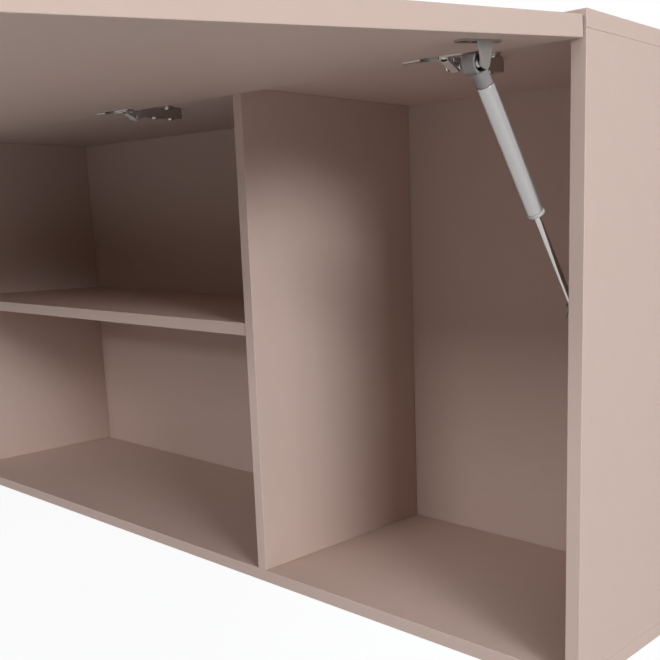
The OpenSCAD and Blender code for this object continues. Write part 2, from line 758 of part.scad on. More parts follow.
// The front link's pins run through the cups' lugs. The rear link's pivot in the cup is the open one, so its
// rivets stop short of the plates.
module hinge_cup_pins() {
  color(steel_colour) on_flap() for (x = hinge_xs) translate([x, 0, 0]) {
    x_pin(-front_link_half, front_link_half, [-link_pin_s, link_pin_depth], hinge_pin_r);
    for (side = [-1, 1]) {
      low = side > 0 ? cheek_in - link_gap / 2 : -cheek_out;
      high = side > 0 ? cheek_out : -cheek_in + link_gap / 2;
      x_pin(low, high, [-rear_pin_s, rear_pin_depth], rear_stub_r);
    }
  }
}

module hinge_cup_screws() {
  color(steel_colour) on_flap() for (x = hinge_xs, side = [-1, 1])
    translate([x + side * cup_screw_span / 2, -flange_s, 0]) flat_screw(sheet_t);
}

module hinge_plate_screws() {
  color(steel_colour) for (x = hinge_xs, side = [-1, 1])
    translate([x + side * plate_screw_span / 2, front_y + plate_line, arm_top_z]) wood_screw();
}

// Two screws clamp and adjust each arm on its mounting plate.
module hinge_arm_screws() {
  color(brass_colour) for (x = hinge_xs, y = arm_screw_ys) translate([x, front_y + y, arm_web_z]) {
    translate([0, 0, -arm_head_h]) cylinder(h = arm_head_h, r = arm_head_r);
    cylinder(h = arm_screw_l, r = wood_screw_r);
  }
}

// ---------------------------------------------------------------- gas struts

// A socket's barrel along X with a round seat for the ball and a wider mouth towards +X, and its neck.
module socket(barrel_r, back, neck_from, neck_to, r) {
  difference() {
    union() {
      x_pin(-back, mouth_off, [0, 0], barrel_r);
      translate([0, 0, neck_to]) cylinder(h = neck_from - neck_to, r = r);
    }
    sphere(ball_r + ball_play, $fn = 64);
    x_pin(mouth_off - counterbore_l, mouth_off + eps, [0, 0], counterbore_r);
  }
}

module strut_upper_socket(side, ball, foot) {
  color(plastic_colour) on_strut(side, ball, foot)
    socket(upper_barrel_r, socket_back, -ball_r - 1, -tube_off, neck_r);
}

module strut_tube(side, ball, foot) {
  color(tube_colour) on_strut(side, ball, foot) difference() {
    translate([0, 0, -tube_off - tube_l]) cylinder(h = tube_l, r = tube_r);
    translate([0, 0, -tube_off - tube_l - eps])
      cylinder(h = tube_l - tube_end_t + eps, r = tube_r - tube_wall);
  }
}

// The guide closes the tube's lower end round the rod, with a small collar outside.
module strut_guide(side, ball, foot) {
  color(plastic_colour) on_strut(side, ball, foot) difference() {
    union() {
      translate([0, 0, -tube_off - tube_l]) cylinder(h = guide_h, r = tube_r - tube_wall);
      translate([0, 0, -tube_off - tube_l - guide_collar_h]) cylinder(h = guide_collar_h, r = guide_collar_r);
    }
    translate([0, 0, -tube_off - tube_l - guide_collar_h - eps])
      cylinder(h = guide_h + guide_collar_h + 2 * eps, r = rod_r + rod_play);
  }
}

module strut_rod(side, ball, foot) {
  reach = norm(foot - ball) - rod_grip;
  color(tube_colour) on_strut(side, ball, foot) translate([0, 0, -reach]) cylinder(h = rod_l, r = rod_r);
}

// The piston is a ring on the rod's inner end.
module strut_piston(side, ball, foot) {
  rod_top = rod_l + rod_grip - norm(foot - ball);
  color(plastic_colour) on_strut(side, ball, foot) difference() {
    translate([0, 0, rod_top - piston_h]) cylinder(h = piston_h, r = tube_r - tube_wall - piston_play);
    translate([0, 0, rod_top - piston_h - eps]) cylinder(h = piston_h + 2 * eps, r = rod_r);
  }
}

module strut_lower_socket(side, ball, foot) {
  reach = norm(foot - ball);
  color(plastic_colour) on_strut(side, ball, foot) translate([0, 0, -reach]) mirror([0, 0, 1]) difference() {
    socket(lower_barrel_r, lower_socket_back, -ball_r, -neck_l, lower_neck_r);
    translate([0, 0, -neck_l - eps]) cylinder(h = neck_l - rod_grip + eps, r = rod_r);
  }
}

// A ball with its stem and collar along +X, which ends at x = end.
module ball_stud(end) {
  rotate([0, 0, 180]) sphere(ball_r, $fn = 64);
  x_pin(0, end, [0, 0], stud_r);
  x_pin(end - stud_collar_h, end, [0, 0], stud_collar_r);
}

module upper_ball_stud(side, ball, foot) {
  color(steel_colour) on_strut(side, ball, foot) ball_stud(ear_in_x);
}

module lower_ball_stud(side, ball, foot) {
  color(steel_colour) on_strut(side, ball, foot) translate([0, 0, -norm(foot - ball)])
    ball_stud(strut_off - bracket_t - open_pivot_gap);
}

// The point where a line from p touches the circle of radius r round c. turn is 1 or -1 for its side.
function touch(p, c, r, turn) =
  let (d = p - c, a = atan2(d[1], d[0]) + turn * acos(r / norm(d))) c + r * [cos(a), sin(a)];

// The ear's outline in [y, z]: wide at its root, and closing in on the round end that holds the stud.
module ear(root, end) {
  front = root - [ear_w / 2, 0];
  rear = root + [ear_w / 2, 0];
  translate(end) circle(ear_end_r);
  polygon([front, touch(front, end, ear_end_r, 1), end, touch(rear, end, ear_end_r, -1), rear]);
}

// The flap bracket: a foot on the flap's inner face and an ear bent down from it beside the socket.
module flap_bracket(side) {
  s = ball_s(side);
  ear_x = strut_x + ear_in_x;
  color(steel_colour) on_flap() mirror([side < 0 ? 1 : 0, 0, 0]) difference() {
    union() {
      translate([foot_x(), -s, -bracket_t]) rotate(90) rounded_plate([foot_l, foot_w], corner_r, bracket_t);
      along_x(ear_x, ear_x + bracket_t) ear([ear_shift - s, 0], [-s, -ball_depth]);
    }
    for (end = [-1, 1]) translate([foot_x(), -foot_screw_s(side, end), 0]) sunk_hole(bracket_t);
  }
}

// The side bracket's screws stand before and behind the ball, clear of the lower stud's path.
function side_screw_at(foot, end) = foot + [end * side_screw_off, 0];

module side_bracket(side, foot) {
  color(steel_colour) mirror([side < 0 ? 1 : 0, 0, 0]) difference() {
    translate([inner_x - bracket_t, foot[0], foot[1]]) rotate([90, 0, 90])
      rounded_plate([side_plate_l, side_plate_w], corner_r, bracket_t);
    for (end = [-1, 1]) x_pin(inner_x - bracket_t - eps, inner_x + eps, side_screw_at(foot, end),
      wood_screw_r + hole_play);
  }
}

module flap_bracket_screws() {
  color(steel_colour) on_flap() for (side = [-1, 1], end = [-1, 1])
    translate([side * foot_x(), -foot_screw_s(side, end), 0]) flat_screw(bracket_t);
}

module side_bracket_screws() {
  color(steel_colour) for (side = [-1, 1], end = [-1, 1]) {
    at = side_screw_at(side > 0 ? right_foot : left_foot, end);
    translate([side * (inner_x - bracket_t), at[0], at[1]]) rotate([0, side * 90, 0]) wood_screw();
  }
}

top_panel();
bottom_panel();
left_side_panel();
right_side_panel();
divider();
shelf();
back_panel();
panel_screws();
panel_dowels();
shelf_pins();
wall_rail();
left_hanger();
right_hanger();
hanger_screws();
flap_panel();
hinge_cup(right_hinge_x);  // right_hinge_cup
hinge_cup(middle_hinge_x);  // middle_hinge_cup
hinge_cup(left_hinge_x);  // left_hinge_cup
hinge_front_link(right_hinge_x);  // right_hinge_front_link
hinge_front_link(middle_hinge_x);  // middle_hinge_front_link
hinge_front_link(left_hinge_x);  // left_hinge_front_link
hinge_rear_link(right_hinge_x);  // right_hinge_rear_link
hinge_rear_link(middle_hinge_x);  // middle_hinge_rear_link
hinge_rear_link(left_hinge_x);  // left_hinge_rear_link
hinge_arm(right_hinge_x);  // right_hinge_arm
hinge_arm(middle_hinge_x);  // middle_hinge_arm
hinge_arm(left_hinge_x);  // left_hinge_arm
hinge_plate(right_hinge_x);  // right_hinge_plate
hinge_plate(middle_hinge_x);  // middle_hinge_plate
hinge_plate(left_hinge_x);  // left_hinge_plate
hinge_arm_pins();
hinge_cup_pins();
hinge_cup_screws();
hinge_plate_screws();
hinge_arm_screws();
strut_tube(1, right_ball, right_foot);  // right_strut_tube
strut_guide(1, right_ball, right_foot);  // right_strut_guide
strut_rod(1, right_ball, right_foot);  // right_strut_rod
strut_piston(1, right_ball, right_foot);  // right_strut_piston
strut_upper_socket(1, right_ball, right_foot);  // right_strut_upper_socket
strut_lower_socket(1, right_ball, right_foot);  // right_strut_lower_socket
upper_ball_stud(1, right_ball, right_foot);  // right_upper_ball_stud
lower_ball_stud(1, right_ball, right_foot);  // right_lower_ball_stud
flap_bracket(1);  // right_flap_bracket
side_bracket(1, right_foot);  // right_side_bracket
strut_tube(-1, left_ball, left_foot);  // left_strut_tube
strut_guide(-1, left_ball, left_foot);  // left_strut_guide
strut_rod(-1, left_ball, left_foot);  // left_strut_rod
strut_piston(-1, left_ball, left_foot);  // left_strut_piston
strut_upper_socket(-1, left_ball, left_foot);  // left_strut_upper_socket
strut_lower_socket(-1, left_ball, left_foot);  // left_strut_lower_socket
upper_ball_stud(-1, left_ball, left_foot);  // left_upper_ball_stud
lower_ball_stud(-1, left_ball, left_foot);  // left_lower_ball_stud
flap_bracket(-1);  // left_flap_bracket
side_bracket(-1, left_foot);  // left_side_bracket
flap_bracket_screws();
side_bracket_screws();
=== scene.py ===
"""Looks of the lift up wall cabinet: boards, hinges, gas struts and hanging steel, with a studio."""

import json
import logging
import math
from dataclasses import dataclass, field
from enum import Enum

import bmesh
import bpy
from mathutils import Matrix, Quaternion, Vector

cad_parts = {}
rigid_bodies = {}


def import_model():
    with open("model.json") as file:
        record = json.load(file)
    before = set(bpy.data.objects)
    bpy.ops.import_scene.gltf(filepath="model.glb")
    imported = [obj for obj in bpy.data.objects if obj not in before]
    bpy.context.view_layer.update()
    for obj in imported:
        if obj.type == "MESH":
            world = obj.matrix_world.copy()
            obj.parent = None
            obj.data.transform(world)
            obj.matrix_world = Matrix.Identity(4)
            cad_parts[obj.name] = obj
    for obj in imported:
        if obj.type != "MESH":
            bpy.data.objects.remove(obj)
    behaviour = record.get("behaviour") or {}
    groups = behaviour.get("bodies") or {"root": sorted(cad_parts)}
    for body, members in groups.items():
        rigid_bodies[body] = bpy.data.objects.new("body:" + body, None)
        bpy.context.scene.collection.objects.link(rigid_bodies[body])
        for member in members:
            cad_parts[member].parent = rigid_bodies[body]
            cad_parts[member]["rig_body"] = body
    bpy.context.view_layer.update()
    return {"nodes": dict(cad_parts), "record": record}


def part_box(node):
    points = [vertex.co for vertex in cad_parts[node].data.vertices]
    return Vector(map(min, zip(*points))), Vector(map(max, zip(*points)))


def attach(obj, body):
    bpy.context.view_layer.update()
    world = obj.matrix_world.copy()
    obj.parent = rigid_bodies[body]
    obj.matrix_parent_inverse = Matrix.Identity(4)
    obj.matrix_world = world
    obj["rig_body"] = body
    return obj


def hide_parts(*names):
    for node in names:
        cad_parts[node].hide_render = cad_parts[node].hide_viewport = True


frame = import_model()

log = logging.getLogger("lift_up_cabinet")

MM = 0.001

MERGE_REACH = 0.001 * MM
FLAT_DEG = 0.5
CREASE_DEG = 35.0

RGB = tuple[float, float, float]


class Grain(Enum):
    """The kinds of fine surface that a finish can have."""

    LAMINATE = "laminate"
    BRUSHED = "brushed"
    MOULDED = "moulded"
    TIMBER = "timber"


# ---------------------------------------------------------------- shader effects


class Effects:
    """The shader node groups that the finishes share, each built once.

    Attributes:
        _made: The groups built so far.
        _noise_span: The low and high end of what a noise gives in practice.
        _fine_ratio: How many times finer the mottle's height is than its tone.
    """

    _made: dict[str, bpy.types.NodeTree] = {}
    _noise_span: tuple[float, float] = (0.3, 0.7)
    _fine_ratio: float = 16.0

    @classmethod
    def mottle(cls) -> bpy.types.NodeTree:
        """Fine cloudy unevenness of a surface.

        Returns:
            A group with inputs Scale and Contrast, and outputs Tone and Height.
        """
        if "mottle" in cls._made:
            return cls._made["mottle"]
        tree = cls._new_group("mottle", {"Scale": 40.0, "Contrast": 0.5}, {"Tone": 1.0, "Height": 0.5})
        nodes, links = tree.nodes, tree.links
        place = nodes.new("ShaderNodeTexCoord")
        cloud = nodes.new("ShaderNodeTexNoise")
        cloud.inputs["Detail"].default_value = 5.0
        cloud.inputs["Roughness"].default_value = 0.6
        grain = nodes.new("ShaderNodeTexNoise")
        grain.inputs["Detail"].default_value = 3.0
        finer = nodes.new("ShaderNodeMath")
        finer.operation = "MULTIPLY"
        finer.inputs[1].default_value = cls._fine_ratio
        source = nodes["Group Input"]
        links.new(place.outputs["Object"], cloud.inputs["Vector"])
        links.new(place.outputs["Object"], grain.inputs["Vector"])
        links.new(source.outputs["Scale"], cloud.inputs["Scale"])
        links.new(source.outputs["Scale"], finer.inputs[0])
        links.new(finer.outputs[0], grain.inputs["Scale"])
        cls._put_out(tree, cloud.outputs[0], grain.outputs[0])
        return tree

    @classmethod
    def brushing(cls) -> bpy.types.NodeTree:
        """The group of fine parallel lines of rolled or turned metal, running along X."""
        return cls._streaks("brushing", 400.0, 0.2, stretch=(0.03, 1.0, 1.0), detail=4.0)

    @classmethod
    def timber(cls) -> bpy.types.NodeTree:
        """The group of long streaks of plain timber, running along Z."""
        return cls._streaks("timber", 60.0, 0.3, stretch=(1.0, 1.0, 0.06), detail=6.0, distortion=0.4)

    @classmethod
    def group_for(cls, grain: Grain) -> bpy.types.NodeTree:
        """The effect group that a kind of surface uses.

        Args:
            grain: The kind of surface.

        Returns:
            The node group.
        """
        if grain is Grain.BRUSHED:
            return cls.brushing()
        if grain is Grain.TIMBER:
            return cls.timber()
        return cls.mottle()

    @classmethod
    def _streaks(cls, name: str, scale: float, contrast: float, stretch: RGB, detail: float,
                 distortion: float = 0.0) -> bpy.types.NodeTree:
        """A group whose noise is drawn out into streaks.

        Args:
            name: The group's name.
            scale: Default of its Scale input.
            contrast: Default of its Contrast input.
            stretch: Scale of the noise along each axis. It is least along the streaks.
            detail: Detail of the noise.
            distortion: How far the noise is bent.

        Returns:
            The group, built on its first use, with inputs Scale and Contrast, and outputs Tone and Height.
        """
        if name in cls._made:
            return cls._made[name]
        tree = cls._new_group(name, {"Scale": scale, "Contrast": contrast}, {"Tone": 1.0, "Height": 0.5})
        nodes, links = tree.nodes, tree.links
        place = nodes.new("ShaderNodeTexCoord")
        mapping = nodes.new("ShaderNodeMapping")
        mapping.inputs["Scale"].default_value = stretch
        lines = nodes.new("ShaderNodeTexNoise")
        lines.inputs["Detail"].default_value = detail
        lines.inputs["Distortion"].default_value = distortion
        links.new(place.outputs["Object"], mapping.inputs["Vector"])
        links.new(mapping.outputs[0], lines.inputs["Vector"])
        links.new(nodes["Group Input"].outputs["Scale"], lines.inputs["Scale"])
        cls._put_out(tree, lines.outputs[0], lines.outputs[0])
        return tree

    @classmethod
    def _put_out(cls, tree: bpy.types.NodeTree, tone: bpy.types.NodeSocket,
                 height: bpy.types.NodeSocket) -> None:
        """Feeds a group's outputs: the tone is spread about 1 by the Contrast input, and the height is plain.

        Args:
            tree: The group.
            tone: The noise that the tone follows.
            height: The noise that the height follows.
        """
        nodes, links = tree.nodes, tree.links
        source, sink = nodes["Group Input"], nodes["Group Output"]
        low, high = nodes.new("ShaderNodeMath"), nodes.new("ShaderNodeMath")
        low.operation, high.operation = "SUBTRACT", "ADD"
        spread = nodes.new("ShaderNodeMapRange")
        spread.inputs["From Min"].default_value, spread.inputs["From Max"].default_value = cls._noise_span
        for bound, end in ((low, "To Min"), (high, "To Max")):
            bound.inputs[0].default_value = 1.0
            links.new(source.outputs["Contrast"], bound.inputs[1])
            links.new(bound.outputs[0], spread.inputs[end])
        links.new(tone, spread.inputs["Value"])
        links.new(spread.outputs[0], sink.inputs["Tone"])
        links.new(height, sink.inputs["Height"])

    @classmethod
    def _new_group(cls, name: str, inputs: dict[str, float], outputs: dict[str, float]) -> bpy.types.NodeTree:
        """An empty shader group with number sockets.

        Args:
            name: The group's name.
            inputs: The name and default of each input.
            outputs: The name and default of each output.

        Returns:
            The new node group, with its input and output nodes placed.
        """
        tree = bpy.data.node_groups.new(name, "ShaderNodeTree")
        for label, value in inputs.items():
            socket = tree.interface.new_socket(name=label, in_out="INPUT", socket_type="NodeSocketFloat")
            socket.default_value = value
        for label, value in outputs.items():
            socket = tree.interface.new_socket(name=label, in_out="OUTPUT", socket_type="NodeSocketFloat")
            socket.default_value = value
        tree.nodes.new("NodeGroupInput")
        tree.nodes.new("NodeGroupOutput")
        cls._made[name] = tree
        return tree


# ---------------------------------------------------------------- finishes


@dataclass(frozen=True)
class Finish:
    """A surface finish: its colour, gloss and fine grain.

    Attributes:
        name: The material's name.
        colour: Base colour in linear RGB.
        roughness: Mean roughness.
        grain: The kind of fine surface.
        grain_scale: Scale of the grain's noise, per metre.
        contrast: How far the grain lightens and darkens the colour.
        metallic: 1 for bare metal, 0 for what isn't metal, and between them for paint with metal in it.
        bump: Depth of the grain in metres.
        rough_spread: How far the grain moves the roughness.
        specular: Strength of the plain gloss, 0.5 for most plastics and paints.
    """

    name: str
    colour: RGB
    roughness: float
    grain: Grain
    grain_scale: float
    contrast: float
    metallic: float = 0.0
    bump: float = 0.0
    rough_spread: float = 0.04
    specular: float = 0.5

    def material(self) -> bpy.types.Material:
        """The node material of this finish, built on its first use.

        Returns:
            The material.
        """
        known = bpy.data.materials.get(self.name)
        if known is not None:
            return known
        made = bpy.data.materials.new(self.name)
        made.use_nodes = True
        made.diffuse_color = (*self.colour, 1.0)
        nodes, links = made.node_tree.nodes, made.node_tree.links
        shader = nodes["Principled BSDF"]
        shader.inputs["Metallic"].default_value = self.metallic
        shader.inputs["Specular IOR Level"].default_value = self.specular
        effect = nodes.new("ShaderNodeGroup")
        effect.node_tree = Effects.group_for(self.grain)
        effect.inputs["Scale"].default_value = self.grain_scale
        effect.inputs["Contrast"].default_value = self.contrast
        tint = nodes.new("ShaderNodeMix")
        tint.data_type = "RGBA"
        tint.blend_type = "MULTIPLY"
        tint.inputs["Factor"].default_value = 1.0
        tint.inputs["A"].default_value = (*self.colour, 1.0)
        links.new(effect.outputs["Tone"], tint.inputs["B"])
        links.new(tint.outputs["Result"], shader.inputs["Base Color"])
        rough = nodes.new("ShaderNodeMapRange")
        rough.inputs["To Min"].default_value = self.roughness - self.rough_spread
        rough.inputs["To Max"].default_value = self.roughness + self.rough_spread
        links.new(effect.outputs["Height"], rough.inputs["Value"])
        links.new(rough.outputs[0], shader.inputs["Roughness"])
        if self.bump > 0.0:
            bump = nodes.new("ShaderNodeBump")
            bump.inputs["Strength"].default_value = 1.0
            bump.inputs["Distance"].default_value = self.bump
            links.new(effect.outputs["Height"], bump.inputs["Height"])
            links.new(bump.outputs[0], shader.inputs["Normal"])
        return made


BOARD = Finish("laminate_board", (0.56, 0.41, 0.345), 0.52, grain=Grain.LAMINATE, grain_scale=45.0,
               contrast=0.012, bump=0.00002, specular=0.2)
NICKEL = Finish("nickel_plated_steel", (0.60, 0.57, 0.545), 0.45, metallic=1.0, grain=Grain.BRUSHED,
                grain_scale=900.0, contrast=0.05, bump=0.000002, rough_spread=0.06)
ZINC = Finish("zinc_plated_steel", (0.27, 0.245, 0.232), 0.42, metallic=1.0, grain=Grain.MOULDED,
              grain_scale=90.0, contrast=0.08, bump=0.00001, rough_spread=0.08)
BALL_STEEL = Finish("turned_steel", (0.34, 0.32, 0.30), 0.3, metallic=1.0, grain=Grain.BRUSHED,
                    grain_scale=900.0, contrast=0.05, rough_spread=0.05)
TUBE_PAINT = Finish("strut_tube_paint", (0.42, 0.40, 0.39), 0.28, metallic=0.8, grain=Grain.MOULDED,
                    grain_scale=160.0, contrast=0.02, bump=0.000005)
ROD_CHROME = Finish("chromed_rod", (0.48, 0.46, 0.44), 0.2, metallic=1.0, grain=Grain.BRUSHED,
                    grain_scale=1200.0, contrast=0.02, rough_spread=0.03)
GREY_PLASTIC = Finish("grey_moulding", (0.225, 0.2, 0.188), 0.36, grain=Grain.MOULDED, grain_scale=200.0,
                      contrast=0.05, bump=0.00002)
CAP_PLASTIC = Finish("light_grey_moulding", (0.42, 0.395, 0.378), 0.4, grain=Grain.MOULDED,
                     grain_scale=200.0, contrast=0.04, bump=0.00002)
DARK_PLASTIC = Finish("dark_moulding", (0.02, 0.02, 0.02), 0.45, grain=Grain.MOULDED, grain_scale=200.0,
                      contrast=0.06, bump=0.00002)
SCREW_STEEL = Finish("zinc_screw", (0.55, 0.53, 0.50), 0.34, metallic=1.0, grain=Grain.MOULDED,
                     grain_scale=300.0, contrast=0.06, rough_spread=0.08)
BRASSED = Finish("yellow_passivated_screw", (0.60, 0.53, 0.42), 0.34, metallic=1.0, grain=Grain.MOULDED,
                 grain_scale=300.0, contrast=0.06, rough_spread=0.08)
RAIL_STEEL = Finish("rail_steel", (0.58, 0.58, 0.58), 0.42, metallic=1.0, grain=Grain.MOULDED,
                    grain_scale=70.0, contrast=0.08, bump=0.00001, rough_spread=0.1)
BEECH = Finish("beech", (0.56, 0.40, 0.25), 0.6, grain=Grain.TIMBER, grain_scale=120.0, contrast=0.16,
               bump=0.00005)

SLOT_FINISH: dict[str, Finish] = {
    "board": BOARD,
    "hinge_steel": NICKEL,
    "bracket_steel": ZINC,
    "ball_steel": BALL_STEEL,
    "strut_tube": TUBE_PAINT,
    "strut_rod": ROD_CHROME,
    "grey_plastic": GREY_PLASTIC,
    "cap_plastic": CAP_PLASTIC,
    "dark_plastic": DARK_PLASTIC,
    "screw": SCREW_STEEL,
    "adjust_screw": BRASSED,
    "rail_steel": RAIL_STEEL,
    "dowel_wood": BEECH,
}


# ---------------------------------------------------------------- mesh helpers


def body_of_node(node: str) -> str:
    """The name of the body that a CAD node belongs to."""
    return frame["nodes"][node]["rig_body"]


def slot_of_node(node: str) -> str:
    """The name of a CAD node's material slot."""
    return next(part["material_slot"] for part in frame["record"]["subparts"] if part["node"] == node)


def finish_piece(obj: bpy.types.Object, mesh: bmesh.types.BMesh, finish: Finish,
                 crease_deg: float = CREASE_DEG) -> None:
    """Writes a bmesh into an object and gives it its finish, with edges past the crease angle shaded sharp.

    Args:
        obj: The object to fill.
        mesh: The finished bmesh, which is freed. Its faces keep their own flat or smooth shading.
        finish: The finish of the piece.
        crease_deg: Edges whose faces meet at more than this angle are sharp.
    """
    crease = math.radians(crease_deg)
    for edge in mesh.edges:
        edge.smooth = edge.calc_face_angle(math.pi) < crease
    mesh.to_mesh(obj.data)
    mesh.free()
    obj.data.materials.clear()
    obj.data.materials.append(finish.material())


def new_object(name: str) -> bpy.types.Object:
    """An empty mesh object in the scene.

    Args:
        name: The object's name.

    Returns:
        The object, at the origin.
    """
    obj = bpy.data.objects.new(name, bpy.data.meshes.new(name))
    bpy.context.scene.collection.objects.link(obj)
    return obj


def merged_copy(node: str) -> bmesh.types.BMesh:
    """A copy of a CAD node's mesh, with its loose triangles joined into whole faces.

    Args:
        node: The CAD node.

    Returns:
        The new bmesh.
    """
    bm = bmesh.new()
    bm.from_mesh(frame["nodes"][node].data)
    bmesh.ops.remove_doubles(bm, verts=bm.verts, dist=MERGE_REACH)
    bmesh.ops.dissolve_limit(bm, angle_limit=math.radians(FLAT_DEG), verts=bm.verts, edges=bm.edges)
    return bm


def islands(bm: bmesh.types.BMesh) -> list[list[bmesh.types.BMFace]]:
    """The separate solids in a mesh.

    Args:
        bm: The mesh.

    Returns:
        The faces of each solid.
    """
    left = set(bm.faces)
    found = []
    while left:
        front = [left.pop()]
        solid = []
        while front:
            face = front.pop()
            solid.append(face)
            beside = {other for edge in face.edges for other in edge.link_faces if other in left}
            left -= beside
            front.extend(beside)
        found.append(sorted(solid, key=lambda f: f.index))
    return sorted(found, key=lambda solid: solid[0].index)


def place_piece(obj: bpy.types.Object, node: str) -> None:
    """Puts a piece in its node's place: it rides on the same body and hides the node.

    Args:
        obj: The new piece.
        node: The CAD node that it stands for.
    """
    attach(obj, body_of_node(node))
    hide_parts(node)


# ---------------------------------------------------------------- ways of dressing


@dataclass(frozen=True)
class BoardDresser:
    """Dresses a CAD board: its flat faces are joined up, and its outer edges get small arrises.

    Attributes:
        arris: Radius of the outer edges, in metres.
        arris_share: The most that the radius may be, as a share of the board's thickness.
        arris_deg: Edges sharper than this angle are outer edges.
        shortest: Edges shorter than this are bores and stay as they are.
        flat_share: A face whose normal lies less than this along each of the board's axes is round, not flat.
    """

    arris: float = 0.6 * MM
    arris_share: float = 0.3
    arris_deg: float = 60.0
    shortest: float = 4.0 * MM
    flat_share: float = 0.9999

    def piece(self, node: str) -> bpy.types.Object:
        """A dressed copy of one board, in its node's place.

        Args:
            node: The CAD node.

        Returns:
            The new piece.
        """
        bm = merged_copy(node)
        width = min(self.arris, self.arris_share * self._thickness(node))
        axes = self._axes(bm)
        arrises = [e for e in bm.edges if self._is_arris(e)]
        bmesh.ops.bevel(bm, geom=arrises, offset=width, segments=3, affect="EDGES", profile=0.5, material=-1,
                        clamp_overlap=True)
        bm.normal_update()
        for face in bm.faces:
            face.smooth = max(abs(face.normal.dot(axis)) for axis in axes) < self.flat_share
        obj = new_object(node + "_board")
        finish_piece(obj, bm, BOARD)
        place_piece(obj, node)
        return obj

    @staticmethod
    def _axes(bm: bmesh.types.BMesh) -> tuple[Vector, Vector, Vector]:
        """The directions of a board's three pairs of flat faces.

        Args:
            bm: The board's mesh.

        Returns:
            Three unit vectors at right angles.
        """
        across = max(bm.faces, key=lambda f: f.calc_area()).normal.copy()
        level = Vector((1.0, 0.0, 0.0)) if abs(across.x) < 0.5 else Vector((0.0, 1.0, 0.0))
        return across, level, across.cross(level)

    def _is_arris(self, edge: bmesh.types.BMEdge) -> bool:
        """Whether an edge is a long outer edge.

        Args:
            edge: The edge to judge.

        Returns:
            True for an edge to round.
        """
        if len(edge.link_faces) != 2 or not edge.is_convex:
            return False
        return edge.calc_length() > self.shortest and edge.calc_face_angle() > math.radians(self.arris_deg)

    @staticmethod
    def _thickness(node: str) -> float:
        """The least side of a board's box, in metres."""
        low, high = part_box(node)
        return min(high - low)


@dataclass(frozen=True)
class EdgeBreaker:
    """Dresses a steel, plastic or wooden CAD piece: its sharp edges are broken.

    Attributes:
        crease_deg: Edges sharper than this angle are broken.
    """

    crease_deg: float = 40.0

    def piece(self, node: str, width: float) -> bpy.types.Object:
        """A dressed copy of one node, in its place.

        Args:
            node: The CAD node.
            width: Width of the broken edges, in metres.

        Returns:
            The new piece.
        """
        bm = merged_copy(node)
        for face in bm.faces:
            face.smooth = True
        obj = new_object(node + "_piece")
        finish_piece(obj, bm, SLOT_FINISH[slot_of_node(node)], self.crease_deg)
        breaker = obj.modifiers.new("edge_break", "BEVEL")
        breaker.width = width
        breaker.segments = 3
        breaker.limit_method = "ANGLE"
        breaker.angle_limit = math.radians(self.crease_deg)
        breaker.harden_normals = True
        breaker.use_clamp_overlap = True
        place_piece(obj, node)
        return obj


